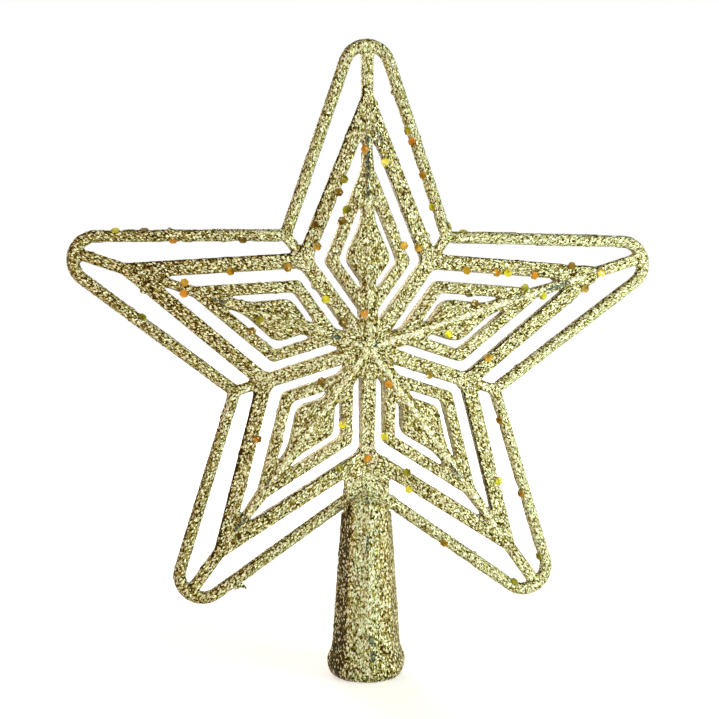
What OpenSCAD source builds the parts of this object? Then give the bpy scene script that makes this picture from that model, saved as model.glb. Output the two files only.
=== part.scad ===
// Christmas tree topper star, 200 mm tall, in glittered gold plastic.
// The star is two moulded halves that meet on its middle plane. A tapered eight-sided socket
// holds the star's stem and slips over the top shoot of a tree. Loose confetti is glued on.
// Millimetres. +Z is up, the front of the star faces -Y, and the origin is at the centre of
// the socket's rim. The star itself is drawn flat, with its front upward, and then stood up.

/* [Outer frame] */
// Centre of the star to the outside of a tip
star_reach = 96.5; // [90:0.5:104]
// Half angle of a tip of the outer frame, in degrees
frame_angle = 18.9; // [18.5:0.1:19.5]
// Thickness of the round bar of the outer frame
frame_bar = 4.1; // [3.4:0.1:4.6]
// Outside radius of a rounded tip
frame_tip_r = 9.3; // [8:0.1:10.5]
// Width of the strut between an inner tip and an outer tip
tip_strut = 3.6; // [3:0.1:4.4]
// Width of the strut between two valleys
valley_strut = 3.2; // [2.6:0.1:4]
// Thickness of each half of a strut
strut_h = 1.9; // [1.5:0.1:2]

/* [Inner star] */
// Gap between the outside of a tip and the virtual sharp tip of the inner star
tip_gap = 13.2; // [11:0.1:16]
// Half angle of a tip of the inner star, in degrees
inner_angle = 21.8; // [21.4:0.1:22.2]
// Width of the two bars that edge an arm
inner_bar = 4.8; // [4:0.1:5.4]
// Width of the five bars that run from the centre to the valleys
hub_bar = 4.6; // [4:0.1:5.2]
// Width of the spine along an arm, above its diamond
spine_w = 3.6; // [3:0.1:4.2]
// Width of the spine where the arm's bars meet it
spine_tip_w = 2.6; // [2.2:0.1:3.4]
// Width of the spine where it leaves the centre
root_w = 5.4; // [5:0.1:6.6]

/* [Kite and diamond] */
// Gap between the sharp tips of an arm's hollow and of the kite in it
kite_tip_gap = 9.8; // [8:0.1:12]
// Gap between the sharp roots of an arm's hollow and of the kite in it
kite_root_gap = 4.4; // [4:0.1:5]
// Width of the bar of a kite
kite_bar = 3.6; // [3:0.1:4.2]
// Gap between the sharp tips of a kite's hollow and of the diamond in it
gem_tip_gap = 6.7; // [5.5:0.1:8]
// Gap between the sharp roots of a kite's hollow and of the diamond in it
gem_root_gap = 3.5; // [3:0.1:4.2]
// Half angle of the tip of a diamond, in degrees
gem_angle = 23.7; // [22:0.1:24.5]
// Width of the neck that carries a diamond at its root
neck_w = 4.4; // [4:0.1:5]

/* [Relief] */
// Height of the front at the centre of the star
front_centre_h = 8; // [6:0.1:9]
// Height of the front at the tips of the inner star
front_tip_h = 2.1; // [1.9:0.1:2.6]
// Height of the front at the valleys of the inner star
front_valley_h = 2.2; // [1.9:0.1:2.8]
// Height of the back at the centre of the star
back_centre_h = 4.4; // [3.4:0.1:6]
// Height of the back at the tips of the inner star
back_tip_h = 1.5; // [1.3:0.1:2]
// Height of the back at the valleys of the inner star
back_valley_h = 1.5; // [1.3:0.1:2]

/* [Corners] */
// Radius of the openings' corners at the valleys
web_corner = 3; // [1:0.1:3.4]
// Radius of the side corners of a kite, outside and inside
kite_corner_r = 1.6; // [1:0.1:2]
// Radius of the side corners of a diamond
gem_corner_r = 4.5; // [2:0.1:5]
// Radius of the narrow corners of the openings
narrow_corner = 0.3; // [0.3:0.1:0.7]
// Radius of the hollow sweep from a diamond into its spine
sweep_corner = 15; // [8:1:16]
// Radius of the corner of the inner star at a valley
valley_corner = 2; // [1:0.1:3]

/* [Locating pegs] */
// Diameter of the small pegs on the back half
peg_d = 2; // [1.6:0.1:2.2]
// Length of the small pegs
peg_l = 1.2; // [0.8:0.1:1.3]
// Diameter of the peg at the centre
hub_peg_d = 3; // [2.4:0.1:4]
// Length of the peg at the centre
hub_peg_l = 2.6; // [2:0.1:3.4]
// Clearance round a peg and past its end
peg_gap = 0.1; // [0.05:0.01:0.2]
// Sharp tip of an arm's hollow to the peg beyond it
tip_peg_gap = 3.6; // [3:0.1:5]
// Valley of the inner star to the peg inside it
valley_peg_gap = 4.4; // [3.5:0.1:5]

/* [Stem] */
// How far the sides of the stem lie inside the corners of the socket
stem_inset = 0.8; // [0.4:0.1:1.2]
// Thickness of the stem, front and back half together
stem_t = 4.8; // [4.6:0.1:5.4]
// Gap between the bars of the outer frame and the bottom of the slot under them
seat_gap = 0.3; // [0.2:0.1:0.8]
// Gap between the tongue below the stem and the wall of the socket
tongue_gap = 1.4; // [1:0.1:2]
// Length of the tongue
tongue_l = 10.5; // [6:0.5:12]
// Clearance between the stem and its slot
slot_gap = 0.1; // [0.05:0.01:0.2]
// Thickness of the plug of glue under the tongue
glue_t = 3; // [2:0.1:4]
// Clearance between the glue and the wall of the socket
glue_gap = 0.1; // [0.05:0.01:0.2]

/* [Socket] */
// Height of the tube, from its rim to the base of its cap
tube_h = 54.6; // [50:0.1:60]
// Gap between the valley of the outer frame and the base of the cap
cap_gap = 5.5; // [5:0.1:7]
// Height of the cap
cap_h = 5.6; // [5:0.1:6]
// Radius of the cap at its top
cap_r = 1; // [0.6:0.1:1.4]
// Radius of the tube at the cap, over the corners
tube_top_r = 7.9; // [7.8:0.1:8.4]
// Radius of the tube above the lip, over the corners
tube_bottom_r = 10.9; // [10.4:0.1:11.4]
// Wall of the tube, measured on its flat sides
tube_wall = 1.4; // [1.1:0.1:1.5]
// Height of the lip
lip_h = 10.4; // [8:0.1:12]
// How far the lip stands out of the tube at its widest
lip_bulge = 1.7; // [1:0.1:2]
// Width of the flat rim round the mouth, over the corners
rim_w = 0.8; // [0.6:0.1:1.1]

/* [Confetti] */
// Width of a piece of confetti over its flat sides
dot_w = 2.4; // [1.6:0.1:2.6]
// Thickness of a piece of confetti
dot_t = 0.2; // [0.15:0.05:0.3]
// Depth that a piece of confetti is bedded in the glue
dot_bed = 0.1; // [0.08:0.01:0.12]

/* [Hidden] */
$fn = 48;
arc_steps = 4;
tip_steps = 12;
bar_steps = 6;
arms = 5;
arm_turn = 360 / arms;
half_turn = arm_turn / 2;
hex_sides = 6;
tube_sides = 8;
// One overrun for every cut, and for the tongue where it runs into its block
over = 1;
// How far past the inner star the sloping faces are carried before they are trimmed
slope_share = 1.08;
// How far up the lip its widest place is
belly_share = 0.48;

plastic = "#b9a866";
plastic_back = "#ab9a5a";
plastic_socket = "#a8965a";
glue_colour = "#e8e2cc";

gold = "#d9a92c";
orange = "#e8871e";
yellow = "#f2e13a";
lime = "#a8c832";
bronze = "#8a5a1e";

// The pieces of confetti lie on these parts of an arm: the bar at its edge, the bar of the outer
// frame, the upper and lower bar of its kite, its diamond, its spine, and the bar to the valley.
on_edge = 0;
on_frame = 1;
on_kite = 2;
on_root = 3;
on_gem = 4;
on_spine = 5;
on_hub = 6;
// In each row: the part, the arm counted leftward from the top one, and the arm's right side as 1
// or its left as -1. Then how far along the part the piece lies, and how far across from its
// middle line to its edge. On the round bar of the frame that is how far down its side.
gold_shares = [
    [on_edge, 0, -1, 0.1, -0.9], [on_frame, 0, 1, 0.36, -0.5], [on_kite, 0, 1, 0.15, 0.9],
    [on_edge, 0, 1, 0.1, -0.9], [on_edge, 1, 1, 0.1, -0.9], [on_spine, 1, 1, 0.72, 0.9],
    [on_edge, 1, 1, 0.43, -0.9], [on_edge, 4, -1, 0.22, -0.9], [on_spine, 4, 1, 0.95, 0.3],
    [on_edge, 4, 1, 0.18, -0.6], [on_frame, 3, -1, 0.17, -0.6], [on_frame, 3, 1, 0.54, 0.4],
    [on_frame, 3, -1, 0.6, -0.6]
];
orange_shares = [
    [on_spine, 0, -1, 0.74, 0.6], [on_frame, 0, 1, 0.55, -0.5], [on_spine, 0, -1, 0.13, 0.9],
    [on_spine, 3, 1, 0.15, 0.9], [on_hub, 3, 1, 0.95, 0], [on_frame, 1, 1, 0.6, -0.6],
    [on_spine, 1, -1, 0.71, 0.9], [on_edge, 4, -1, 0.63, -0.9], [on_edge, 4, -1, 0.4, -0.9],
    [on_edge, 2, 1, 0.33, -0.9]
];
yellow_shares = [
    [on_edge, 0, 1, 0.63, -0.9], [on_frame, 0, 1, 0.61, -0.6], [on_frame, 0, 1, 0.18, -0.7],
    [on_hub, 1, 1, 0.55, -0.9], [on_gem, 4, 1, 0.28, 0.5], [on_root, 2, -1, 0.74, -0.9],
    [on_root, 3, 1, 0.95, 0.9], [on_edge, 3, 1, 0.32, 0.9], [on_edge, 4, -1, 0.47, -0.8],
    [on_frame, 1, 1, 0.9, 0.6], [on_frame, 4, -1, 0.09, 0.7]
];
lime_shares = [
    [on_edge, 0, -1, 0.52, -0.9], [on_edge, 3, 1, 0.25, -0.9], [on_gem, 1, -1, 0.64, 0.3],
    [on_frame, 3, 1, 1, -0.6], [on_frame, 3, -1, 0.97, -0.7], [on_spine, 4, 1, 0.7, 0.9],
    [on_kite, 4, -1, 0.9, 0.9], [on_frame, 1, -1, 0.63, -0.6], [on_edge, 2, -1, 0.18, -0.6],
    [on_kite, 0, -1, 0.53, 0.9], [on_frame, 0, 1, 0.05, 0.7], [on_edge, 3, -1, 0.63, 0.9]
];
bronze_shares = [
    [on_edge, 0, -1, 0.44, -0.9], [on_kite, 0, -1, 0.41, 0.9], [on_edge, 0, -1, 0.21, 0.4],
    [on_hub, 1, 1, 0.31, -0.9], [on_root, 2, 1, 0.41, 0.9], [on_hub, 3, -1, 0.57, -0.9],
    [on_kite, 1, -1, 0.33, -0.9], [on_gem, 4, -1, 0.7, 0.4], [on_frame, 1, 1, 0.23, -0.6],
    [on_frame, 1, 1, 0.75, 0.7], [on_edge, 4, -1, 0.86, 0.8], [on_edge, 4, 1, 0.9, 0.8]
];

// Distance of the outer frame's centre line from the centre of the star
frame_apex = star_reach + frame_tip_r * (1 / sin(frame_angle) - 1);
frame_line = frame_apex * sin(frame_angle) - frame_bar / 2;
frame_valley = frame_line / sin(half_turn + frame_angle);
frame_arc_r = frame_tip_r - frame_bar / 2;
frame_arc_y = star_reach - frame_tip_r;

// Sharp tips of the edges inside an arm, from the outermost in, all on the arm's own axis
inner_reach = star_reach - tip_gap;
inner_hollow = inner_reach - inner_bar / sin(inner_angle);
kite_reach = inner_hollow - kite_tip_gap;
kite_hollow = kite_reach - kite_bar / sin(inner_angle);
gem_reach = kite_hollow - gem_tip_gap;

// Sharp roots of the same edges, from the innermost out
inner_floor = hub_bar / 2 / sin(half_turn);
kite_root = inner_floor + kite_root_gap;
kite_floor = kite_root + kite_bar / sin(half_turn);
gem_root = kite_floor + gem_root_gap;

// Centre of the star to the valley of the inner star
inner_valley = inner_reach * sin(inner_angle) / sin(half_turn + inner_angle);

bore_top_r = tube_top_r - tube_wall / cos(180 / tube_sides);
bore_rim_r = tube_bottom_r - tube_wall / cos(180 / tube_sides);
lip_r = tube_bottom_r + lip_bulge;
rim_r = bore_rim_r + rim_w;

// Fall of the outer frame's bars beside the stem
bar_fall = 90 - half_turn - frame_angle;

// Centre of the star to the shoulders of the stem, the end of its tongue, and the socket's rim
cap_drop = frame_valley + cap_gap;
stem_reach = frame_valley + tube_top_r * tan(bar_fall) + frame_bar / 2 / cos(bar_fall) + seat_gap;
stem_end = stem_reach + tongue_l;
rim_drop = cap_drop + tube_h;
stem_w = 2 * (tube_top_r - stem_inset);
tongue_w = 2 * (bore_top_r - tongue_gap);

// Geometry in the plane of an arm: x runs across the arm and y along it, away from the centre.

function unit(v) = v / norm(v);

// Point across the arm where a line that falls from a tip meets one that rises from a root.
function kite_corner(tip, tip_angle, root) =
    let (y = (tip * tan(tip_angle) + root * tan(half_turn)) / (tan(tip_angle) + tan(half_turn)))
    [(tip - y) * tan(tip_angle), y];

// Point at a given half width on a line that falls from a tip, or rises from a root.
function under_tip(tip, tip_angle, half_w) = [half_w, tip - half_w / tan(tip_angle)];
function over_root(root, half_w) = [half_w, root + half_w / tan(half_turn)];

// A corner b, between a and c, as an arc of a radius, or of less where a side is too short for it.
function corner(a, b, c, radius) =
    let (
        p = unit(a - b),
        q = unit(c - b),
        half = acos(p * q) / 2,
        r = min(radius, tan(half) * min(norm(a - b), norm(c - b)) / 2),
        middle = b + unit(p + q) * r / sin(half),
        from = b + p * r / tan(half) - middle,
        to = b + q * r / tan(half) - middle,
        start = atan2(from.y, from.x),
        sweep = atan2(from.x * to.y - from.y * to.x, from * to)
    )
    [for (i = [0:arc_steps]) let (a = start + sweep * i / arc_steps) middle + r * [cos(a), sin(a)]];

// An outline with the corner at each of its points rounded to the radius of the same place.
function rounded(points, radii) =
    let (n = len(points))
    [for (i = [0:n - 1]) each corner(points[(i + n - 1) % n], points[i], points[(i + 1) % n], radii[i])];

function turned(p, angle) = [p.x * cos(angle) - p.y * sin(angle), p.x * sin(angle) + p.y * cos(angle)];

// Half of the opening between the edge of an arm and its kite.
function kite_opening() = rounded(
    [
        under_tip(inner_hollow, inner_angle, spine_tip_w / 2),
        kite_corner(inner_hollow, inner_angle, inner_floor),
        over_root(inner_floor, root_w / 2),
        over_root(kite_root, root_w / 2),
        kite_corner(kite_reach, inner_angle, kite_root),
        under_tip(kite_reach, inner_angle, spine_w / 2)
    ],
    [narrow_corner, web_corner, narrow_corner, narrow_corner, kite_corner_r, narrow_corner]
);

// Half of the opening between a kite and its diamond.
function gem_opening() = rounded(
    [
        under_tip(kite_hollow, inner_angle, spine_w / 2),
        kite_corner(kite_hollow, inner_angle, kite_floor),
        over_root(kite_floor, neck_w / 2),
        over_root(gem_root, neck_w / 2),
        kite_corner(gem_reach, gem_angle, gem_root),
        under_tip(gem_reach, gem_angle, spine_w / 2)
    ],
    [narrow_corner, kite_corner_r, narrow_corner, narrow_corner, gem_corner_r, sweep_corner]
);

// The inner star's outline: its tips are sharp, because the struts cover them.
function star_outline() = [
    for (i = [0:arms - 1])
        let (
            tip = turned([0, inner_reach], i * arm_turn),
            valley = turned([0, inner_valley], (i + 0.5) * arm_turn),
            next = turned([0, inner_reach], (i + 1) * arm_turn)
        )
        each concat([tip], corner(tip, valley, next, valley_corner))
];

module each_arm() {
    for (i = [0:arms - 1]) rotate([0, 0, i * arm_turn]) children();
}

module both_sides() {
    children();
    mirror([1, 0, 0]) children();
}

module lattice() {
    difference() {
        polygon(star_outline());
        each_arm() both_sides() polygon(kite_opening());
        each_arm() both_sides() polygon(gem_opening());
    }
}

// Ten sloping faces that rise from the tips and valleys to the centre of the star.
module slopes(centre_h, tip_h, valley_h) {
    n = 2 * arms;
    // Each corner as its distance from the centre and its height
    tip = [inner_reach * slope_share, centre_h + (tip_h - centre_h) * slope_share];
    valley = [inner_valley * slope_share, centre_h + (valley_h - centre_h) * slope_share];
    corners = [for (i = [0:n - 1]) i % 2 == 0 ? tip : valley];
    foot = [for (i = [0:n - 1]) turned([0, corners[i].x], i * half_turn)];
    polyhedron(
        points = concat(
            [[0, 0, centre_h]],
            [for (i = [0:n - 1]) [foot[i].x, foot[i].y, corners[i].y]],
            [for (p = foot) [p.x, p.y, 0]]
        ),
        faces = concat(
            [for (i = [0:n - 1]) [0, 1 + (i + 1) % n, 1 + i]],
            [for (i = [0:n - 1]) [1 + i, 1 + (i + 1) % n, 1 + n + (i + 1) % n, 1 + n + i]],
            [[for (i = [0:n - 1]) 1 + n + i]]
        )
    );
}

// Outline of the outer frame, at a distance outward from the centre line of its bar.
function frame_outline(out) = [
    for (i = [0:arms - 1])
        each concat(
            [for (k = [0:tip_steps])
                let (a = frame_angle + (180 - 2 * frame_angle) * k / tip_steps)
                turned([0, frame_arc_y] + (frame_arc_r + out) * [cos(a), sin(a)], i * arm_turn)],
            [turned([0, (frame_line + out) / sin(half_turn + frame_angle)], (i + 0.5) * arm_turn)]
        )
];

// The upper half of a bar that runs round all five tips, with a section like half a disc.
module outer_frame() {
    n = arms * (tip_steps + 2);
    levels = bar_steps + 1;
    points = [
        for (j = [0:bar_steps])
            let (a = 180 * j / bar_steps)
            for (p = frame_outline(frame_bar / 2 * cos(a))) [p.x, p.y, frame_bar / 2 * sin(a)]
    ];
    polyhedron(
        points = points,
        faces = [
            for (j = [0:bar_steps]) for (k = [0:n - 1])
                let (m = (j + 1) % levels, l = (k + 1) % n)
                [j * n + k, m * n + k, m * n + l, j * n + l]
        ]
    );
}

module struts() {
    bar_middle = star_reach - frame_bar / 2;
    tip_root = inner_reach - inner_bar;
    valley_root = inner_valley - inner_bar / 2;
    each_arm() translate([-tip_strut / 2, tip_root, 0]) cube([tip_strut, bar_middle - tip_root, strut_h]);
    for (i = [0:arms - 1])
        if (2 * i + 1 != arms)
            rotate([0, 0, (i + 0.5) * arm_turn]) translate([-valley_strut / 2, valley_root, 0])
                cube([valley_strut, frame_valley - valley_root, strut_h]);
}

// One half of the stem: a block that sits in the socket's slot, and a tongue below it.
module stem() {
    translate([-stem_w / 2, -stem_reach, 0]) cube([stem_w, stem_reach - inner_valley, stem_t / 2]);
    translate([-tongue_w / 2, -stem_end, 0]) cube([tongue_w, tongue_l + over, stem_t / 2]);
}

module star_half(centre_h, tip_h, valley_h) {
    intersection() {
        linear_extrude(centre_h) lattice();
        slopes(centre_h, tip_h, valley_h);
    }
    outer_frame();
    struts();
    stem();
}

// Places of the pegs: one in each tip and valley, and one in the stem.
module peg_places() {
    each_arm() translate([0, inner_hollow + tip_peg_gap, 0]) children();
    each_arm() rotate([0, 0, half_turn]) translate([0, inner_valley - valley_peg_gap, 0]) children();
    translate([0, -(stem_reach + frame_valley) / 2, 0]) children();
}

// Stands the flat star up over the socket, with its front towards -Y.
module stand() {
    translate([0, 0, rim_drop]) rotate([90, 0, 0]) children();
}

module star_front() {
    color(plastic) stand() difference() {
        star_half(front_centre_h, front_tip_h, front_valley_h);
        peg_places() translate([0, 0, -over]) cylinder(d = peg_d + 2 * peg_gap, h = peg_l + peg_gap + over);
        translate([0, 0, -over]) cylinder(d = hub_peg_d + 2 * peg_gap, h = hub_peg_l + peg_gap + over);
    }
}

module star_back() {
    root = back_tip_h / 2;
    color(plastic_back) stand() {
        mirror([0, 0, 1]) star_half(back_centre_h, back_tip_h, back_valley_h);
        peg_places() translate([0, 0, -root]) cylinder(d = peg_d, h = peg_l + root);
        translate([0, 0, -root]) cylinder(d = hub_peg_d, h = hub_peg_l + root);
    }
}

// Outline of the socket from its axis outwards, with the swelling lip at its foot.
function socket_profile() =
    let (
        belly = [lip_r, lip_h * belly_share],
        waist = [tube_bottom_r, lip_h]
    )
    concat(
        [[0, 0], [rim_r, 0]],
        [for (i = [1:arc_steps]) [
            rim_r + (belly.x - rim_r) * sin(90 * i / arc_steps),
            belly.y * (1 - cos(90 * i / arc_steps))
        ]],
        [for (i = [1:arc_steps]) [
            belly.x + (waist.x - belly.x) * (1 - cos(180 * i / arc_steps)) / 2,
            belly.y + (waist.y - belly.y) * i / arc_steps
        ]],
        [[tube_top_r, tube_h], [cap_r, tube_h + cap_h], [0, tube_h + cap_h]]
    );

// The hollow of the socket, eight-sided like the outside so that the wall is even.
module bore(gap) {
    cylinder(r1 = bore_rim_r - gap, r2 = bore_top_r - gap, h = tube_h, $fn = tube_sides);
}

module socket_tube() {
    slot_t = stem_t + 2 * slot_gap;
    color(plastic_socket) difference() {
        rotate_extrude($fn = tube_sides) polygon(socket_profile());
        bore(0);
        translate([0, 0, -over]) cylinder(r = bore_rim_r, h = over, $fn = tube_sides);
        translate([-lip_r, -slot_t / 2, rim_drop - stem_reach]) cube([2 * lip_r, slot_t, tube_h]);
    }
}

module stem_glue() {
    color(glue_colour) intersection() {
        bore(glue_gap);
        translate([-lip_r, -lip_r, rim_drop - stem_end - glue_t]) cube([2 * lip_r, 2 * lip_r, glue_t]);
    }
}

// Fall of the front across an arm, and along it, in height for each unit of way.
front_fall = let (
    along = (front_tip_h - front_centre_h) / inner_reach,
    valley = inner_valley * [sin(half_turn), cos(half_turn)]
) [(front_valley_h - front_centre_h - along * valley.y) / valley.x, along];

// Middle line of each part of an arm's right side, from its start to its end, and the half width.
function part_line(part) =
    let (
        inner_line = inner_reach - inner_bar / 2 / sin(inner_angle),
        valley_line = inner_line * sin(inner_angle) / sin(half_turn + inner_angle),
        kite_line = kite_reach - kite_bar / 2 / sin(inner_angle),
        root_line = kite_root + kite_bar / 2 / sin(half_turn),
        down = [sin(half_turn), cos(half_turn)],
        out = [cos(frame_angle), sin(frame_angle)],
        side = kite_corner(kite_line, inner_angle, root_line)
    )
    part == on_edge ? [valley_line * down, [0, inner_line], inner_bar / 2] :
    part == on_frame ? [frame_valley * down, [0, frame_arc_y] + frame_arc_r * out, frame_bar / 2] :
    part == on_kite ? [side, [0, kite_line], kite_bar / 2] :
    part == on_root ? [[0, root_line], side, kite_bar / 2] :
    part == on_gem ? [[0, gem_root], [0, gem_reach], kite_corner(gem_reach, gem_angle, gem_root).x] :
    part == on_spine ? [[0, 0], [0, inner_reach], spine_w / 2] :
    [[0, 0], inner_valley * down, hub_bar / 2];

module dot() {
    translate([0, 0, -dot_bed]) cylinder(d = dot_w / cos(180 / hex_sides), h = dot_t, $fn = hex_sides);
}

// One piece of confetti, laid flat on the face that it is stuck to.
module dot_on(place) {
    line = part_line(place[0]);
    run = line[1] - line[0];
    ahead = atan2(run.y, run.x);
    across = [sin(ahead), -cos(ahead)];
    spot = line[0] + run * place[3];
    rotate([0, 0, place[1] * arm_turn]) mirror([place[2] < 0 ? 1 : 0, 0, 0])
        if (place[0] == on_frame) {
            translate([spot.x, spot.y, 0]) rotate([0, 0, ahead]) rotate([90 * place[4], 0, 0])
                translate([0, 0, line[2]]) dot();
        } else {
            at = spot + across * line[2] * place[4];
            translate([at.x, at.y, front_centre_h + front_fall * at])
                rotate(a = atan(norm(front_fall)), v = [front_fall.y, -front_fall.x, 0]) dot();
        }
}

module confetti(places) {
    stand() for (place = places) dot_on(place);
}

module confetti_gold() {
    color(gold) confetti(gold_shares);
}

module confetti_orange() {
    color(orange) confetti(orange_shares);
}

module confetti_yellow() {
    color(yellow) confetti(yellow_shares);
}

module confetti_lime() {
    color(lime) confetti(lime_shares);
}

module confetti_bronze() {
    color(bronze) confetti(bronze_shares);
}

star_front();
star_back();
socket_tube();
stem_glue();
confetti_gold();
confetti_orange();
confetti_yellow();
confetti_lime();
confetti_bronze();
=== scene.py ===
"""Dresses the gold glitter tree topper star: glittered skins, film confetti, glue, and a white studio."""
import math

import bpy
import numpy as np
from bpy.props import FloatProperty, FloatVectorProperty, IntProperty, PointerProperty
from mathutils import Euler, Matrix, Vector, noise


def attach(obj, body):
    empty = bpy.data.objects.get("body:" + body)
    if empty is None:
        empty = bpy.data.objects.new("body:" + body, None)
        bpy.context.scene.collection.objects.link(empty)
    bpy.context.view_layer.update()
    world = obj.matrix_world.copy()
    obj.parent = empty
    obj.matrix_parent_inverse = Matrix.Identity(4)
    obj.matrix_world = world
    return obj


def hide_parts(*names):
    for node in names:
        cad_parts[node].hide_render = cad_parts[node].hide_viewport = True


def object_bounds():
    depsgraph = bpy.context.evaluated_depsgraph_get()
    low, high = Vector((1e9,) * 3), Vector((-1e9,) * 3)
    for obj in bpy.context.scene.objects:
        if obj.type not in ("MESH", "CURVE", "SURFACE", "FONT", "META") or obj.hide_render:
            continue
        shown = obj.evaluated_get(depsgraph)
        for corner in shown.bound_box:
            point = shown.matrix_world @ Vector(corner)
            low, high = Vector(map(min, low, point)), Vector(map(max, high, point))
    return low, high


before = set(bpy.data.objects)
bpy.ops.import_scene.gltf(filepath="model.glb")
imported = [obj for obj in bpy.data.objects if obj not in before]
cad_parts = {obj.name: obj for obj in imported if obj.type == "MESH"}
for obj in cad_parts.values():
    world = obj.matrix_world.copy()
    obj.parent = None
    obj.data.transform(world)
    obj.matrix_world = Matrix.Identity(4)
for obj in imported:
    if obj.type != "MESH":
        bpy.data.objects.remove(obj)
CAD_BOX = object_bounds()

bl_info = {
    "name": "Glitter Tree Topper Star",
    "version": (1, 0, 0),
    "blender": (4, 5, 0),
    "location": "View3D > Sidebar > Topper Star",
    "description": "Glittered skins, confetti and a white studio for a tree topper star",
    "category": "Object",
}

MM = 0.001

# The star's centre and angles are those of the part's source. The distances tell its forms apart, and lie on
# their edges or in the gaps between them. All are in millimetres and degrees.
STAR_CENTRE = 103.5  # height of the star's middle over the socket's mouth
ARM_TURN = 72  # from one arm to the next
FRAME_TIP = 18.9  # half angle of a tip of the round frame
FRAME_FROM = 31.7  # distance from the centre, square to the frame's bars, past which there is only frame
BEYOND_ARM = 84  # way along an arm past which there is only frame
ARM_TIP = 21.8  # half angle of an arm of the inner star
ARM_EDGES = ((26.1, 0.9), (30.9, 0.7))  # the edges of an arm's bars: distance from the centre, half width
PARTING = 0.35  # how near the middle plane the faces lie on which the two halves of the star meet
FOOT_TOP = 13  # height under which the glitter on the socket gets darker
LIP_TOP = 11  # height under which its lip stands out
LIP_FROM = 9.9  # distance from the socket's axis, at its corners, past which there is only the lip's outside

# How much longer than wide the grains are drawn, along the arms and up the socket.
STAR_STRETCH = 1.8
SOCKET_STRETCH = 1.7


def rgb(code):
    """An sRGB hex colour as linear red, green and blue."""
    values = [int(code[i:i + 2], 16) / 255 for i in (1, 3, 5)]
    return tuple(v / 12.92 if v <= 0.04045 else ((v + 0.055) / 1.055) ** 2.4 for v in values)


def rgba(colour):
    """A linear colour as a socket takes it, with its alpha."""
    return (*colour, 1.0)


def toned(colour, share):
    """A colour times a share: darker below 1, and brighter above it, at most up to white."""
    return tuple(min(1.0, share * c) for c in colour)


def colour_prop(name, description, code):
    """A setting that holds a colour, with an sRGB hex colour as its default."""
    return FloatVectorProperty(
        name=name, description=description, subtype="COLOR", size=3, min=0, max=1, default=rgb(code)
    )


def length_prop(name, description, default):
    """A setting that holds a length in metres."""
    return FloatProperty(
        name=name, description=description, default=default, min=0, unit="LENGTH", precision=5
    )


def power_prop(name, description, default):
    """A setting that holds a lamp's power in watts."""
    return FloatProperty(name=name, description=description, default=default, unit="POWER")


def number_prop(name, description, default):
    """A setting that holds a plain number."""
    return FloatProperty(name=name, description=description, default=default)


def new_material(name):
    """An empty node material, and its tree."""
    material = bpy.data.materials.new(name)
    material.use_nodes = True
    material.node_tree.nodes.clear()
    return material, material.node_tree


def node(tree, kind, links=None, values=None, **settings):
    """Adds a node: settings are its own, values fill its input sockets, and links feed them."""
    made = tree.nodes.new(kind)
    for key, value in settings.items():
        setattr(made, key, value)
    for key, value in (values or {}).items():
        made.inputs[key].default_value = value
    for key, source in (links or {}).items():
        tree.links.new(source, made.inputs[key])
    return made


def ramp(tree, fac, stops):
    """A colour ramp through stops, each a place and a linear colour."""
    made = node(tree, "ShaderNodeValToRGB", {"Fac": fac})
    while len(made.color_ramp.elements) < len(stops):
        made.color_ramp.elements.new(0.5)
    for element, (place, colour) in zip(made.color_ramp.elements, stops):
        element.position = place
        element.color = rgba(colour)
    return made.outputs["Color"]


def mix(tree, fac, first, second):
    """The first colour where fac is 0 and the second where it is 1."""
    # The node has a socket of each name for every type of data, so its colours go by number.
    return node(tree, "ShaderNodeMix", {0: fac, 6: first, 7: second}, data_type="RGBA").outputs[2]


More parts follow.
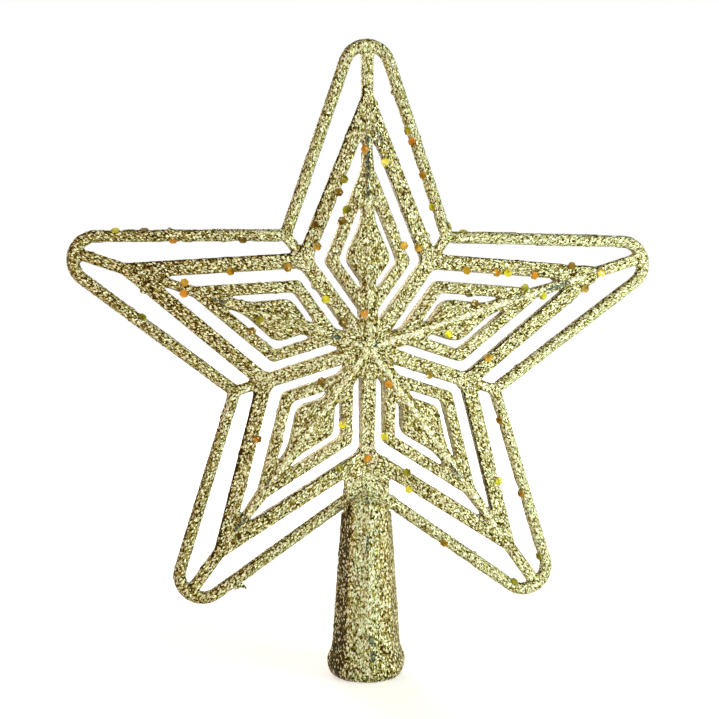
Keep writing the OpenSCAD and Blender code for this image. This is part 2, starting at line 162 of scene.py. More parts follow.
class GlitterSettings(bpy.types.PropertyGroup):
    """The glitter that covers the moulded plastic, and the rough skin that it makes."""

    grain: length_prop("Grain", "Width of a grain of glitter on the star", 0.3 * MM)
    flake: length_prop("Flake", "Distance between the flakes that flash on the star", 0.56 * MM)
    socket_grain: length_prop("Socket grain", "Width of a grain of glitter on the socket", 0.36 * MM)
    socket_flake: length_prop("Socket flake", "Distance between the flakes that flash there", 0.64 * MM)
    tilt: FloatProperty(
        name="Tilt", description="How far a grain leans, as a share", default=0.6, min=0, max=2
    )
    flash: number_prop("Flash", "How much brighter the flakes that flash are", 1.75)
    ground: number_prop("Ground", "Tone of the fine grains between the flakes", 0.32)
    spread: number_prop("Spread", "How far the tones of the fine grains lie apart", 0.4)

    facet: length_prop("Facet", "Length of the edge of a facet in the rough skin", 0.42 * MM)
    most_facets: IntProperty(
        name="Most facets", description="Most facets that one skin may have", default=190000
    )
    softening: IntProperty(
        name="Softening", description="Rounds of averaging that soften the edges", default=5
    )
    roughness: length_prop("Skin roughness", "How far a grain stands up from the skin", 0.04 * MM)
    crease: length_prop("Crease", "Depth of the creases beside a spine", 0.4 * MM)
    lump: length_prop("Lump", "How far a lump of glue stands up from the skin", 1.1 * MM)
    lump_width: length_prop("Lump width", "Width of a lump of glue", 2.6 * MM)
    bed: length_prop("Bed", "How far the skin is pressed in under a piece of confetti", 0.3 * MM)
    seed: IntProperty(name="Seed", description="Seed of the rough skin", default=7)

    # These five paint light and shade into the glitter's tone, where the lamps would light or shade it.
    left_wall_light: number_prop("Left wall light", "How much lighter the front's walls facing left are", 0.06)
    rim_shade: number_prop("Rim shade", "How much darker the upper left of the frame is", 0.3)
    edge_shade: number_prop("Edge shade", "How much darker the upper left edges of an arm are", 1.1)
    side_shade: number_prop("Side shade", "How much darker the sides of the frame are", 0.2)
    left_shade: number_prop("Left shade", "How much darker the left end of the star is", 0.17)
    burr_cover: number_prop("Burr cover", "How much lighter a burr is, or darker below 0", -0.3)

    gap: colour_prop("Gap", "Lacquer in the gaps between the grains", "#33270a")
    brown: colour_prop("Brown", "Grains that lie in shade", "#6b561f")
    gold: colour_prop("Gold", "Grains of middle tone", "#a49344")
    champagne: colour_prop("Champagne", "Pale grains", "#d8d19e")
    spark: colour_prop("Spark", "Grains that catch the light", "#fffeea")
    copper: colour_prop("Copper", "Tint of the warmest grains", "#fce4b2")
    worn: colour_prop("Worn", "Bare grey plastic where the glitter is rubbed off", "#566052")


class ConfettiSettings(bpy.types.PropertyGroup):
    """The colours of the loose confetti."""

    gold: colour_prop("Gold", "Gold film", "#bd9020")
    orange: colour_prop("Orange", "Orange film", "#d08c20")
    yellow: colour_prop("Yellow", "Yellow film", "#dccf2a")
    lime: colour_prop("Lime", "Lime film", "#9c961a")
    bronze: colour_prop("Bronze", "Bronze film", "#83661a")
    dusted: FloatProperty(
        name="Dusted", description="Share of the film under glitter", default=0.15, min=0, max=1
    )


class StudioSettings(bpy.types.PropertyGroup):
    """The camera, the lamps and the white surroundings."""

    camera_at: FloatVectorProperty(
        name="Camera", description="Place of the camera", subtype="TRANSLATION",
        default=(-0.047, -0.35403, 0.11302),
    )
    camera_turn: FloatVectorProperty(
        name="Camera turn", description="Rotation of the camera", subtype="EULER",
        default=(math.radians(87.881), math.radians(-0.097), math.radians(-7.198)),
    )
    focal: number_prop("Focal length", "Focal length in millimetres", 56.82)
    key: power_prop("Key", "Power of the lamp at the right", 1.34)
    fill: power_prop("Fill", "Power of the lamp at the left", 0.43)
    back: power_prop("Back", "Power of the lamp behind", 6.0)
    top: power_prop("Top", "Power of the lamp above", 0.25)
    room: number_prop("Room", "Light of the room on matt surfaces", 0.3)
    paper: colour_prop("Paper", "White paper of the floor", "#f6f5f2")
    paper_lift: number_prop("Paper lift", "Glow that keeps the paper white", 0.52)


def along_arms(tree, place):
    """The place turned so that the arm of the star that it lies on points up: grains lie along the arms."""
    parts = node(tree, "ShaderNodeSeparateXYZ", {"Vector": place})
    up = node(tree, "ShaderNodeMath", {0: parts.outputs["Z"]}, {1: STAR_CENTRE * MM}, operation="SUBTRACT")
    angle = node(tree, "ShaderNodeMath", {0: parts.outputs["X"], 1: up.outputs[0]}, operation="ARCTAN2")
    arm = node(tree, "ShaderNodeMath", {0: angle.outputs[0]}, {1: math.radians(ARM_TURN)}, operation="DIVIDE")
    arm = node(tree, "ShaderNodeMath", {0: arm.outputs[0]}, operation="ROUND")
    turn = node(
        tree, "ShaderNodeMath", {0: arm.outputs[0]}, {1: math.radians(-ARM_TURN)}, operation="MULTIPLY"
    )
    return node(
        tree, "ShaderNodeVectorRotate", {"Vector": place, "Angle": turn.outputs[0]},
        {"Center": (0, 0, STAR_CENTRE * MM)}, rotation_type="Y_AXIS",
    ).outputs[0]


def glitter_material(settings, name, grain, flake, longer, on_star):
    """ABS plastic dusted with gold polyester glitter in clear lacquer. Each grain has a tone and a lean of
    its own, larger flakes flash between them, brown lacquer shows in the gaps, and grey plastic where it is
    worn. longer is how much longer than wide the grains are drawn, for the way they lie in the lacquer.
    Real grains are finer than a pixel of the render, so they are drawn as coarse as they need to show."""
    material, tree = new_material(name)
    place = node(tree, "ShaderNodeTexCoord").outputs["Object"]
    wobble = node(tree, "ShaderNodeTexNoise", {"Vector": place}, {"Scale": 1 / (5 * grain), "Detail": 1.0})
    wobble = node(tree, "ShaderNodeVectorMath", {0: wobble.outputs["Color"]}, operation="SCALE")
    wobble.inputs["Scale"].default_value = 3 * grain
    brushed = along_arms(tree, place) if on_star else place
    moved = node(tree, "ShaderNodeVectorMath", {0: brushed, 1: wobble.outputs[0]}, operation="ADD")
    laid = node(
        tree, "ShaderNodeMapping", {"Vector": moved.outputs[0]}, {"Scale": (1, 1, longer)},
        vector_type="TEXTURE",
    ).outputs[0]
    grains = node(tree, "ShaderNodeTexVoronoi", {"Vector": laid}, {"Scale": 1 / grain})
    parts = node(tree, "ShaderNodeSeparateColor", {"Color": grains.outputs["Color"]})
    flakes = node(tree, "ShaderNodeTexVoronoi", {"Vector": laid}, {"Scale": 1 / flake})
    kinds = node(tree, "ShaderNodeSeparateColor", {"Color": flakes.outputs["Color"]})
    inside = node(
        tree, "ShaderNodeMapRange", {"Value": flakes.outputs["Distance"]},
        {"From Min": 0.36, "From Max": 0.5, "To Min": 1.0, "To Max": 0.0},
    )
    flash = node(
        tree, "ShaderNodeMapRange", {"Value": kinds.outputs["Red"]},
        {"To Min": 0.05, "To Max": settings.flash},
    )
    lit = node(tree, "ShaderNodeMath", {0: inside.outputs[0], 1: flash.outputs[0]}, operation="MULTIPLY")
    ground = node(
        tree, "ShaderNodeMapRange", {"Value": parts.outputs["Red"]},
        {"To Min": settings.ground - settings.spread, "To Max": settings.ground + settings.spread},
    )
    tone = node(tree, "ShaderNodeMath", {0: ground.outputs[0], 1: lit.outputs[0]}, operation="ADD")
    # This attribute adds painted light and painted shade to each grain's tone, where the lamps would light or
    # shade the star and the socket.
    cover = node(tree, "ShaderNodeAttribute", attribute_name="cover")
    tone = node(
        tree, "ShaderNodeMath", {0: tone.outputs[0], 1: cover.outputs["Fac"]}, operation="ADD", use_clamp=True
    )
    stops = [
        (0.0, settings.gap), (0.16, settings.brown), (0.36, settings.gold),
        (0.6, settings.champagne), (0.82, settings.spark),
    ]
    colour = ramp(tree, tone.outputs[0], stops)
    # Some grains are olive and some copper, as in mixed film, and warm moves a whole place either way.
    warm = node(tree, "ShaderNodeAttribute", attribute_name="warm")
    kind = node(
        tree, "ShaderNodeMath", {0: parts.outputs["Green"], 1: warm.outputs["Fac"]},
        operation="ADD", use_clamp=True,
    )
    tints = [(0.0, rgb("#e0f4d6")), (0.28, rgb("#fbfdf0")), (0.65, rgb("#ffffff")), (1.0, settings.copper)]
    hue = ramp(tree, kind.outputs[0], tints)
    colour = node(tree, "ShaderNodeVectorMath", {0: colour, 1: hue}, operation="MULTIPLY").outputs[0]
    wear = node(tree, "ShaderNodeAttribute", attribute_name="wear")
    rubbed = node(tree, "ShaderNodeMath", {0: wear.outputs["Fac"], 1: parts.outputs["Blue"]}, operation="ADD")
    rubbed = node(
        tree, "ShaderNodeMapRange", {"Value": rubbed.outputs[0]}, {"From Min": 0.95, "From Max": 1.15}
    )
    greys = [(0.1, toned(settings.worn, 0.3)), (0.55, settings.worn), (0.95, toned(settings.worn, 2.6))]
    bare = ramp(tree, parts.outputs["Green"], greys)
    colour = mix(tree, rubbed.outputs[0], colour, bare)
    lean = node(
        tree, "ShaderNodeVectorMath", {0: grains.outputs["Color"]}, {1: (0.5, 0.5, 0.5)}, operation="SUBTRACT"
    )
    reach = node(tree, "ShaderNodeVectorMath", {0: lean.outputs[0]}, operation="SCALE")
    reach.inputs["Scale"].default_value = 2 * settings.tilt
    facing = node(tree, "ShaderNodeNewGeometry").outputs["Normal"]
    leant = node(tree, "ShaderNodeVectorMath", {0: reach.outputs[0], 1: facing}, operation="ADD")
    normal = node(tree, "ShaderNodeVectorMath", {0: leant.outputs[0]}, operation="NORMALIZE")
    gloss = node(
        tree, "ShaderNodeMapRange", {"Value": parts.outputs["Green"]}, {"To Min": 0.25, "To Max": 0.5}
    )
    shader = node(
        tree, "ShaderNodeBsdfPrincipled",
        {"Base Color": colour, "Roughness": gloss.outputs[0], "Normal": normal.outputs[0]},
        {"Metallic": 0.25, "IOR": 1.5, "Specular IOR Level": 0.06, "Specular Tint": rgba(settings.champagne)},
    )
    node(tree, "ShaderNodeOutputMaterial", {"Surface": shader.outputs[0]})
    return material


def film_material(name, colour, cover):
    """Metallised polyester film, punched into confetti: smooth and strongly coloured, darker where the
    lacquer has run over it, and dusted with the glitter that fell on it."""
    material, tree = new_material(name)
    place = node(tree, "ShaderNodeTexCoord").outputs["Object"]
    run = node(tree, "ShaderNodeTexNoise", {"Vector": place}, {"Scale": 1 / (2.5 * MM), "Detail": 2.0})
    dark = toned(colour, 0.35)
    pale = tuple(min(1.0, 1.25 * c + 0.03) for c in colour)
    tint = ramp(tree, run.outputs["Fac"], [(0.36, dark), (0.52, colour), (0.68, pale)])
    dust = node(tree, "ShaderNodeTexVoronoi", {"Vector": place}, {"Scale": 1 / (0.5 * MM)})
    parts = node(tree, "ShaderNodeSeparateColor", {"Color": dust.outputs["Color"]})
    speck = ramp(
        tree, parts.outputs["Green"], [(0.1, rgb("#8a7430")), (0.5, rgb("#b8a768")), (0.9, rgb("#f4eec8"))]
    )
    lies = node(
        tree, "ShaderNodeMapRange", {"Value": parts.outputs["Red"]},
        {"From Min": 1 - cover, "From Max": 1.02 - cover},
    )
    shader = node(
        tree, "ShaderNodeBsdfPrincipled", {"Base Color": mix(tree, lies.outputs[0], tint, speck)},
        {"Metallic": 0.3, "Roughness": 0.35, "IOR": 1.6, "Specular IOR Level": 0.08},
    )
    node(tree, "ShaderNodeOutputMaterial", {"Surface": shader.outputs[0]})
    return material


def glue_material():
    """Hot-melt glue, set cloudy in the socket: pale, waxy and slightly uneven."""
    material, tree = new_material("set_hot_melt_glue")
    place = node(tree, "ShaderNodeTexCoord").outputs["Object"]
    cloud = node(tree, "ShaderNodeTexNoise", {"Vector": place}, {"Scale": 1 / (3 * MM), "Detail": 3.0})
    tint = ramp(tree, cloud.outputs["Fac"], [(0.3, rgb("#d8cfae")), (0.7, rgb("#ece6d2"))])
    shader = node(tree, "ShaderNodeBsdfPrincipled", {"Base Color": tint}, {"Roughness": 0.4, "IOR": 1.48})
    node(tree, "ShaderNodeOutputMaterial", {"Surface": shader.outputs[0]})
    return material


def dress(name, material):
    """Gives a CAD node's object its material."""
    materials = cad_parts[name].data.materials
    materials.clear()
    materials.append(material)


# Where the glitter is rubbed off the front: the two ends of each spot, as X and Z, and its half width.
WORN_SPOTS = (
    ((-0.2, 169.0), (-0.2, 156.5), 0.7), ((-0.3, 153.4), (-0.3, 150.6), 0.7),
    ((3.3, 170.6), (4.4, 167.6), 0.6), ((-9.2, 106.6), (-11.6, 107.1), 0.7),
    ((1.3, 104.2), (2.4, 104.9), 0.6), ((57.4, 122.0), (64.4, 124.2), 0.6),
    ((48.0, 119.4), (49.3, 119.8), 0.5), ((-47.5, 118.7), (-44.4, 117.3), 0.6),
    ((-38.0, 51.2), (-41.0, 47.6), 0.6), ((-30.8, 62.6), (-32.0, 60.8), 0.4),
    ((26.0, 67.0), (29.2, 62.6), 0.5), ((0.0, 14.2), (0.3, 12.4), 0.8),
    ((0.4, 9.4), (0.8, 7.6), 0.7), ((-0.6, 45.0), (-0.9, 40.0), 0.5),
    ((-0.4, 57.0), (-0.5, 55.6), 0.6),
)

# Painted highlight along each arm's spine, stronger on the arms to the right: the arm's direction, in degrees
# from the right, and how much lighter.
SPINE_HIGHLIGHTS = ((90, 0.12), (18, 0.55), (-54, 0.42), (-126, 0.25), (162, 0.12))

# The creases beside each arm's spine: way across and way along the arm at both ends, and depth as a share.
CREASES = (((1.3, 66.0), (0.5, 78.0), 1.0), ((1.9, 47.0), (1.5, 56.0), 1.0), ((1.6, 3.0), (1.5, 62.0), 0.6))

# Lumps of glue on the edges: X, Z and reach.
GLUE_LUMPS = (
    (8.1, 183.5, 0.8), (11.6, 172.1, 0.7), (3.4, 180.0, 1.0), (-68.4, 140.2, 0.7), (-60.9, 139.8, 0.6),
    (-77.4, 139.9, 0.6), (-69.2, 121.0, 0.9), (55.4, 140.9, 0.7), (60.6, 125.4, 0.9), (-7.7, 146.4, 0.8),
    (-8.8, 142.8, 0.8), (-15.7, 135.1, 0.9), (-16.9, 122.5, 0.9), (26.9, 141.5, 0.9), (30.6, 141.6, 0.9),
    (19.1, 138.9, 0.8), (-6.4, 135.1, 0.8), (32.9, 120.3, 0.8), (9.9, 38.0, 0.8), (-9.6, 38.5, 0.8),
)

# The burrs on the edge of the star: root, tip and width.
BURRS = {
    "burr_on_left_foot": ((-41.4, -0.3, 28.9), (-37.7, -0.5, 28.2), 2.3),
    "burr_on_right_edge": ((63.5, -1.7, 138.4), (63.6, -1.9, 136.8), 0.7),
}


def worn_share(place):
    """How far each point of the front, in millimetres, lies in a worn spot."""
    share = np.zeros(len(place))
    flat = place[:, [0, 2]]
    for start, end, half in WORN_SPOTS:
        start, along = np.array(start), np.subtract(end, start)
        t = np.clip((flat - start) @ along / (along @ along), 0, 1)
        off = np.linalg.norm(flat - start - t[:, None] * along, axis=1)
        share = np.maximum(share, np.clip(1.9 - 1.5 * off / half, 0, 0.92))
    return np.where(place[:, 1] < -1.5, share, 0)


def spine_highlight(place):
    """How much lighter each point is for lying on the crest of an arm's spine: a painted highlight."""
    share = np.zeros(len(place))
    for angle, more in SPINE_HIGHLIGHTS:
        turn = math.radians(angle)
        x, z = place[:, 0], place[:, 2] - STAR_CENTRE
        along = x * math.cos(turn) + z * math.sin(turn)
        off = np.abs(z * math.cos(turn) - x * math.sin(turn))
        share = np.maximum(share, more * np.clip(1.5 - off / 0.6, 0, 1) * ((along > 1) & (along < 74)))
    return share * (np.abs(place[:, 1]) > 1.5)


def arm_places(place):
    """Each point's way across and along the arm that it is nearest to, in millimetres."""
    x, z = place[:, 0], place[:, 2] - STAR_CENTRE
    step = np.radians(ARM_TURN)
    turn = step * np.round((np.arctan2(z, x) - math.pi / 2) / step) + math.pi / 2
    return x * np.sin(turn) - z * np.cos(turn), x * np.cos(turn) + z * np.sin(turn)


def from_centre(across, along, half_angle):
    """Distance from the centre, square to the bars that close an arm at this half angle."""
    return along * math.sin(math.radians(half_angle)) + np.abs(across) * math.cos(math.radians(half_angle))


def crease_share(place):
    """How far each point lies in a crease, where the two bars of an arm run up against its spine."""
    across, along = arm_places(place)
    across = np.abs(across)
    share = np.zeros(len(place))
    for start, end, depth in CREASES:
        t = (along - start[1]) / (end[1] - start[1])
        off = np.abs(across - start[0] - np.clip(t, 0, 1) * (end[0] - start[0]))
        ends = np.clip((t + 0.25) / 0.25, 0, 1) * np.clip(1.15 - t, 0, 1)
        share = np.maximum(share, depth * np.clip(1.3 - off / 0.55, 0, 1) * ends)
    return share


def lump_share(place):
    """How far each point is pushed out by one of the lumps of glue that stand out from the edges."""
    share = np.zeros(len(place))
    for x, z, reach in GLUE_LUMPS:
        off = np.hypot(place[:, 0] - x, place[:, 2] - z)
        share = np.maximum(share, 0.6 * np.clip(1.4 - off / reach, 0, 1))
    return share


def bed_share(place):
    """How far each point lies under a piece of confetti, which the coat of glitter must leave in sight."""
    middles = []
    for name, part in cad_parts.items():
        if name.startswith("confetti"):
            middles += loose_middles(part.data)
    share = np.zeros(len(place))
    for middle in middles:
        off = np.linalg.norm(place - middle, axis=1) / MM
        share = np.maximum(share, np.clip(2.6 - off, 0, 1))
    return share


def loose_middles(mesh):
    """The middle of each separate solid in a mesh."""
    owner = list(range(len(mesh.vertices)))

    def root(i):
        while owner[i] != i:
            owner[i] = owner[owner[i]]
            i = owner[i]
        return i

    for edge in mesh.edges:
        first, second = (root(i) for i in edge.vertices)
        owner[first] = second
    place = points(mesh.vertices, "co")
    solid = np.array([root(i) for i in range(len(owner))])
    return [place[solid == i].mean(axis=0) for i in np.unique(solid)]


def rounded_lip(place):
    """The socket's skin with the corners of its lip evened out by the thick lacquer on it."""
    x, y, z = place.T
    turn = (np.arctan2(y, x) % (math.pi / 4)) - math.pi / 8
    flat = math.cos(math.pi / 8) / np.cos(turn)
    outside = np.hypot(x, y) > flat * LIP_FROM * MM
    share = 0.6 * np.clip((LIP_TOP * MM - z) / (5 * MM), 0, 1) * outside
    scale = 1 + share * (0.985 / flat - 1)
    return np.stack([x * scale, y * scale, z], axis=1)


def modified(mesh, kind, **settings):
    """A new mesh, made from this one by one modifier."""
    shape = bpy.data.objects.new("shape", mesh)
    bpy.context.collection.objects.link(shape)
    modifier = shape.modifiers.new(kind, kind)
    for key, value in settings.items():
        setattr(modifier, key, value)
    made = bpy.data.meshes.new_from_object(shape.evaluated_get(bpy.context.evaluated_depsgraph_get()))
    bpy.data.objects.remove(shape)
    bpy.data.meshes.remove(mesh)
    return made


def points(items, key):
    """A vector of each item, such as its place or its normal, as the rows of an array."""
    values = np.empty(len(items) * 3)
    items.foreach_get(key, values)
    return values.reshape(-1, 3)


def softened(place, edges, hold, steps):
    """Points with their edges rounded by rounds of averaging, less where hold is small."""
    count = len(place)
    share = np.bincount(edges.ravel(), minlength=count)[:, None]
    for _ in range(steps):
        total = [
            np.bincount(edges[:, 0], place[edges[:, 1], k], count)
            + np.bincount(edges[:, 1], place[edges[:, 0], k], count)
            for k in range(3)
        ]
        place = place + 0.5 * hold[:, None] * (np.stack(total, axis=1) / share - place)
    return place


def socket_tones(place, out):
    """How much lighter and how much warmer each point of the socket is. It has a painted highlight a little
    left of its middle and painted shade at its sides, is darker at its foot, copper at the right and olive
    left of the middle."""
    leftmost, rightmost = (np.clip((side * out[:, 0] - 0.5) / 0.3, 0, 1) for side in (-1, 1))
    ridge = np.clip(1 - np.abs(place[:, 0] + 1.6 * MM) / (4 * MM), 0, 1)
    foot = np.clip((FOOT_TOP * MM - place[:, 2]) / (4 * MM), 0, 1)
    # Painted highlight along the ridge a little left of the middle, painted shade on the left and right
    # facets, and darker at the foot.
    cover = 0.18 * ridge - 0.03 - 0.52 * leftmost - 0.12 * rightmost - 0.11 * foot
    # About half the socket's width: 8 mm from a height of 39 mm up, and 13 mm at its mouth.
    half_width = 8 * MM + 0.4 * np.clip(13 * MM - place[:, 2] / 3, 0, None)
    warm = np.interp(
        place[:, 0] / half_width, (-1, -0.6, -0.5, 0.1, 0.5, 1), (0.05, 0.05, -0.24, -0.16, 0.12, 0.2)
    )
    return cover, warm


def star_tones(settings, place, out, across, along, crease, front):
    """How much lighter and how much warmer each point of a half of the star is. Painted shade lies on the
    sides of the frame, on its upper left, in the creases, on the upper left edges of the arms' bars and
    towards the left end, which is also warmer. Painted light lies on the right of the frame, along the spines
    and on the front's walls facing left, while the walls facing left on the back get painted shade."""
    frame_bars = (from_centre(across, along, FRAME_TIP) > FRAME_FROM) | (along > BEYOND_ARM)
    leftward = np.clip((-out[:, 0] - 0.2) / 0.8, 0, 1)
    upward = np.clip((-0.6 * out[:, 0] + 0.8 * out[:, 2] - 0.25) / 0.6, 0, 1)
    # On the walls facing left: painted light on the front, painted shade on the back.
    painted_wall_tone = settings.left_wall_light if front else -0.12
    # Painted shade on the frame's upper left, and in the creases beside the spines.
    cover = np.where(frame_bars, -settings.rim_shade * upward, painted_wall_tone * leftward) - 0.15 * crease
    # Painted shade on the sides of the frame's bars.
    cover -= settings.side_shade * frame_bars * np.clip(1 - np.abs(out[:, 1]) / 0.6, 0, 1)
    # Painted shade towards the left end of the star.
    cover -= settings.left_shade * np.clip((-place[:, 0] / MM - 15) / 45, 0, 1)
    # The frame is lighter, and painted light makes it lighter still towards the right.
    cover += frame_bars * (0.05 + 0.06 * np.clip((place[:, 0] / MM - 20) / 30, 0, 1)) - 0.01
    far = np.clip(np.abs(place[:, 0]) / MM / 40 - 0.6, 0, 1)
    cover -= 0.03 * far * ~frame_bars
    # Warmer towards the left end, with its painted shade, and cooler towards the right and on the frame.
    warm = np.where(place[:, 0] < 0, 0.14, -0.06) * far - 0.08 * frame_bars
    if front:
        # Painted highlights along the spines.
        cover += spine_highlight(place / MM)
        # Painted shade on the upper left edges of the bars that edge an arm.
        edge = from_centre(across, along, ARM_TIP)
        facing = np.clip((0.6 * out[:, 2] - 0.8 * out[:, 0] - 0.2) / 0.4, 0, 1)
        on_edge = np.any([np.abs(edge - at) < half for at, half in ARM_EDGES], axis=0)
        cover -= settings.edge_shade * facing * on_edge
    return cover, warm


def rough_skin(name, settings, seed):
    """A node's surface in small facets, with its edges softened by the lacquer, each corner moved by a
    grain's height, and lumps of glue. The faces on which two mouldings meet stay flat."""
    on_star = name != "socket_tube"
    rng = np.random.default_rng(seed)
    skin = modified(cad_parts[name].data.copy(), "REMESH", mode="VOXEL", voxel_size=settings.facet)
    count = len(skin.vertices)
    edges = np.empty(len(skin.edges) * 2, np.int32)
    skin.edges.foreach_get("vertices", edges)
    place = points(skin.vertices, "co")
    parting = np.abs(place[:, 1]) < PARTING * MM if on_star else np.zeros(count, bool)
    across, along = arm_places(place / MM)
    crest = np.clip(1.6 - np.abs(across) / 0.8, 0, 1) * (along > 2) * on_star
    hold = np.where(parting, 0.0, 1 - 0.85 * crest)
    place = softened(place, edges.reshape(-1, 2), hold, settings.softening)
    if not on_star:
        place = rounded_lip(place)
    skin.vertices.foreach_set("co", place.ravel())
    skin.update()
    out = points(skin.vertex_normals, "vector")
    free = np.where(parting & (np.abs(out[:, 1]) > 0.8), 0.0, 1.0)
    crease = crease_share(place / MM) if on_star else np.zeros(count)
    place[:, 1] -= settings.crease * crease * free * np.sign(place[:, 1])
    lumps = np.array([noise.noise(Vector(p) / settings.lump_width) for p in place])
    rise = settings.roughness * (rng.uniform(-1.0, 1.0, count) + lumps)
    rise += settings.lump * (np.clip(lumps - 0.52, 0, None) + lump_share(place / MM))
    rise -= settings.bed * bed_share(place) if on_star else 0
    aside = rng.uniform(-0.15, 0.15, (count, 3)) * settings.facet
    aside -= out * np.sum(aside * out, axis=1, keepdims=True)
    moved = place + free[:, None] * (out * rise[:, None] + aside)
    moved[:, 2] = np.maximum(moved[:, 2], 0)
    skin.vertices.foreach_set("co", moved.ravel())
    if on_star:
        cover, warm = star_tones(settings, place, out, across, along, crease, name == "star_front")
    else:
        cover, warm = socket_tones(place, out)
    for label, values in (("cover", cover), ("warm", warm), ("wear", worn_share(place / MM))):
        skin.attributes.new(label, "FLOAT", "POINT").data.foreach_set("value", values)
    triangles = sum(len(face.vertices) - 2 for face in skin.polygons)
    if triangles > settings.most_facets:
        ratio = settings.most_facets / triangles
        skin = modified(skin, "DECIMATE", ratio=ratio, use_collapse_triangulate=True)
    skin.polygons.foreach_set("use_smooth", np.ones(len(skin.polygons), bool))
    skin.update()
    piece = bpy.data.objects.new(name + "_glitter", skin)
    bpy.context.collection.objects.link(piece)
    return piece


def glittered(name, settings, grain, flake, longer, seed):
    """Replaces a moulding by its rough skin, covered with glitter."""
    piece = rough_skin(name, settings, seed)
    piece.data.materials.clear()
    on_star = name != "socket_tube"
    piece.data.materials.append(
        glitter_material(settings, "gold_glitter_on_" + name, grain, flake, longer, on_star)
    )
    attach(piece, "root")
    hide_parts(name)


def burr(name, root, tip, width, settings):
    """A burr on an edge, covered with glitter: a thin leaf, from inside the edge out to a point."""
    rings, sides = 9, 10
    root, tip = Vector(root) * MM, Vector(tip) * MM
    along = (tip - root).normalized()
    over = along.cross(Vector((0, 1, 0))).normalized()
    through = along.cross(over)
    corners = []
    for i in range(rings):
        t = i / rings
        middle = root.lerp(tip, t) + over * width * MM * 0.35 * math.sin(math.pi * t)
        half = 0.5 * width * MM * (1 - t ** 3) * (0.85 + 0.15 * math.sin(2.6 * math.pi * t))
        for j in range(sides):
            turn = 2 * math.pi * j / sides
            corners.append(middle + over * half * math.cos(turn) + through * 0.45 * half * math.sin(turn))
    faces = [list(range(sides))]
    for i in range(rings - 1):
        for j in range(sides):
            k = (j + 1) % sides
            faces.append([i * sides + k, i * sides + j, (i + 1) * sides + j, (i + 1) * sides + k])
    corners.append(tip)
    last = (rings - 1) * sides
    faces += [[last + (j + 1) % sides, last + j, len(corners) - 1] for j in range(sides)]
    mesh = bpy.data.meshes.new(name)
    mesh.from_pydata(corners, [], faces)
    mesh.polygons.foreach_set("use_smooth", np.ones(len(mesh.polygons), bool))
    cover = [settings.burr_cover] * len(corners)
    mesh.attributes.new("cover", "FLOAT", "POINT").data.foreach_set("value", cover)
    mesh.update()
    piece = bpy.data.objects.new(name, mesh)
    bpy.context.collection.objects.link(piece)
    mesh.materials.append(bpy.data.materials["gold_glitter_on_star_front"])
    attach(piece, "root")


class TOPPER_OT_star(bpy.types.Operator):
    """Covers both halves of the star with fine gold glitter"""

    bl_idname = "topper.star"
    bl_label = "Star"

    def execute(self, context):
        settings = context.scene.topper_glitter
        for i, half in enumerate(("star_front", "star_back")):
            glittered(half, settings, settings.grain, settings.flake, STAR_STRETCH, settings.seed + i)
        for name, (root, tip, width) in BURRS.items():
            burr(name, root, tip, width, settings)
        return {"FINISHED"}


class TOPPER_OT_socket(bpy.types.Operator):
    """Covers the socket with coarser glitter and sets the glue in it"""

    bl_idname = "topper.socket"
    bl_label = "Socket"

    def execute(self, context):
        settings = context.scene.topper_glitter
        glittered(
            "socket_tube", settings, settings.socket_grain, settings.socket_flake, SOCKET_STRETCH,
            settings.seed + 2,
        )
        dress("stem_glue", glue_material())
        return {"FINISHED"}


class TOPPER_OT_confetti(bpy.types.Operator):
    """Gives each colour of confetti its film"""

    bl_idname = "topper.confetti"
    bl_label = "Confetti"

    def execute(self, context):
        settings = context.scene.topper_confetti
        for tone in ("gold", "orange", "yellow", "lime", "bronze"):
            dress("confetti_" + tone, film_material(tone + "_film", getattr(settings, tone), settings.dusted))
        return {"FINISHED"}


def seen_or_mirrored(tree):
    """1 for rays from the camera, a gloss or glass, and 0 for the light on matt surfaces."""
    path = node(tree, "ShaderNodeLightPath").outputs
    seen = path["Is Camera Ray"]
    for kind in ("Is Glossy Ray", "Is Transmission Ray"):
        seen = node(tree, "ShaderNodeMath", {0: seen, 1: path[kind]}, operation="MAXIMUM").outputs[0]
    return seen


def paper_material(settings):
    """Seamless studio paper: matt and white, with a little glow so that it stays white to the horizon."""
    material, tree = new_material("white_studio_paper")
    place = node(tree, "ShaderNodeTexCoord").outputs["Object"]
    away = node(tree, "ShaderNodeVectorMath", {0: place}, operation="LENGTH")
    evened = node(
        tree, "ShaderNodeMapRange", {"Value": away.outputs["Value"]},
        {"From Min": 0.1, "From Max": 0.4, "To Min": settings.paper_lift, "To Max": 1.0},
    )
    seen = seen_or_mirrored(tree)
    lift = node(tree, "ShaderNodeMath", {0: seen, 1: evened.outputs[0]}, operation="MULTIPLY")
    glow = node(tree, "ShaderNodeEmission", {"Strength": lift.outputs[0]})
    matt = node(tree, "ShaderNodeBsdfDiffuse", values={"Color": rgba(settings.paper)})
    both = node(tree, "ShaderNodeAddShader", {0: glow.outputs[0], 1: matt.outputs[0]})
    node(tree, "ShaderNodeOutputMaterial", {"Surface": both.outputs[0]})
    return material


def white_world(scene, room):
    """White where it is seen or mirrored, and dimmer as a light on matt surfaces."""
    world = bpy.data.worlds.new("white_room")
    scene.world = world
    world.use_nodes = True
    tree = world.node_tree
    tree.nodes.clear()
    seen = seen_or_mirrored(tree)
    strength = node(tree, "ShaderNodeMapRange", {"Value": seen}, {"To Min": room, "To Max": 1.0})
    sky = node(tree, "ShaderNodeBackground", {"Strength": strength.outputs[0]}, {"Color": (1, 1, 1, 1)})
    node(tree, "ShaderNodeOutputWorld", {"Surface": sky.outputs[0]})


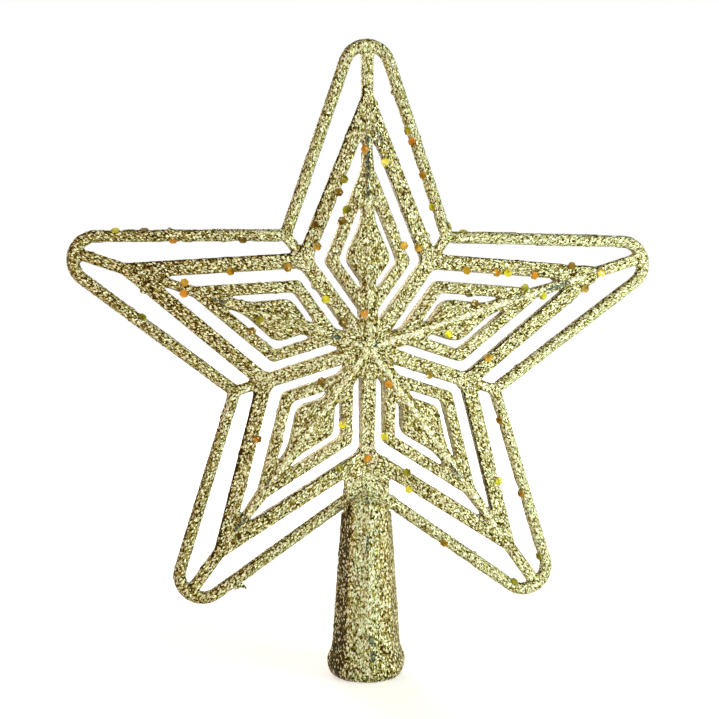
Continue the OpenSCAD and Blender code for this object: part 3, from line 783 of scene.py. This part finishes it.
# The softboxes: place and size in metres, and colour. Each takes its power from the setting of its name.
SOFTBOXES = {
    "key": ((0.31, -0.25, 0.08), 0.22, "#f0ffec"),
    "fill": ((-0.36, -0.2, 0.2), 0.3, "#ffc48c"),
    "back": ((-0.2, 0.9, 0.35), 0.5, "#fff6e6"),
    "top": ((0.0, -0.25, 1.0), 0.6, "#ffffff"),
}


def softbox(name, at, aim, size, power, colour):
    """A square lamp that faces the place at which it aims."""
    lamp = bpy.data.lights.new(name, "AREA")
    lamp.shape = "SQUARE"
    lamp.size = size
    lamp.energy = power
    lamp.color = colour
    holder = bpy.data.objects.new(name, lamp)
    holder.location = at
    holder.rotation_euler = (Vector(aim) - Vector(at)).to_track_quat("-Z", "Y").to_euler()
    bpy.context.collection.objects.link(holder)


class TOPPER_OT_stage(bpy.types.Operator):
    """Sets up the white floor, the lamps and the camera"""

    bl_idname = "topper.stage"
    bl_label = "Stage"

    def execute(self, context):
        settings = context.scene.topper_studio
        scene = context.scene
        scene.view_settings.view_transform = "Standard"
        low, high = (Vector(corner) for corner in CAD_BOX)
        middle = (low + high) / 2
        bpy.ops.mesh.primitive_circle_add(vertices=96, radius=4.0, fill_type="NGON", location=(0, 0, low.z))
        floor = context.object
        floor.name = "studio_floor"
        floor.data.materials.append(paper_material(settings))
        white_world(scene, settings.room)
        for name, (at, size, code) in SOFTBOXES.items():
            softbox(name + "_softbox", at, middle, size, getattr(settings, name), rgb(code))
        camera = bpy.data.cameras.new("photo_camera")
        camera.sensor_fit = "HORIZONTAL"
        camera.sensor_width = 36
        camera.lens = settings.focal
        camera.clip_start = 0.01
        holder = bpy.data.objects.new("photo_camera", camera)
        holder.location = settings.camera_at
        holder.rotation_euler = Euler(settings.camera_turn)
        context.collection.objects.link(holder)
        scene.camera = holder
        return {"FINISHED"}


OPERATORS = (TOPPER_OT_star, TOPPER_OT_socket, TOPPER_OT_confetti, TOPPER_OT_stage)
GROUPS = {
    "topper_glitter": GlitterSettings,
    "topper_confetti": ConfettiSettings,
    "topper_studio": StudioSettings,
}


class TOPPER_PT_panel(bpy.types.Panel):
    """Buttons that dress the star, one for each group of pieces"""

    bl_label = "Topper Star"
    bl_idname = "TOPPER_PT_panel"
    bl_space_type = "VIEW_3D"
    bl_region_type = "UI"
    bl_category = "Topper Star"

    def draw(self, context):
        for operator in OPERATORS:
            self.layout.operator(operator.bl_idname)
        for group in GROUPS:
            box = self.layout.box()
            for name in GROUPS[group].__annotations__:
                box.prop(getattr(context.scene, group), name)


def register():
    """Makes the settings, the operators and the panel known to Blender."""
    for group in (*GROUPS.values(), *OPERATORS, TOPPER_PT_panel):
        bpy.utils.register_class(group)
    for name, group in GROUPS.items():
        setattr(bpy.types.Scene, name, PointerProperty(type=group))


def unregister():
    """Takes them out again."""
    for name in GROUPS:
        delattr(bpy.types.Scene, name)
    for group in reversed((*GROUPS.values(), *OPERATORS, TOPPER_PT_panel)):
        bpy.utils.unregister_class(group)


def main():
    """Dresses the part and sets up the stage."""
    register()
    bpy.ops.topper.star()
    bpy.ops.topper.socket()
    bpy.ops.topper.confetti()
    bpy.ops.topper.stage()


if __name__ == "__main__":
    main()
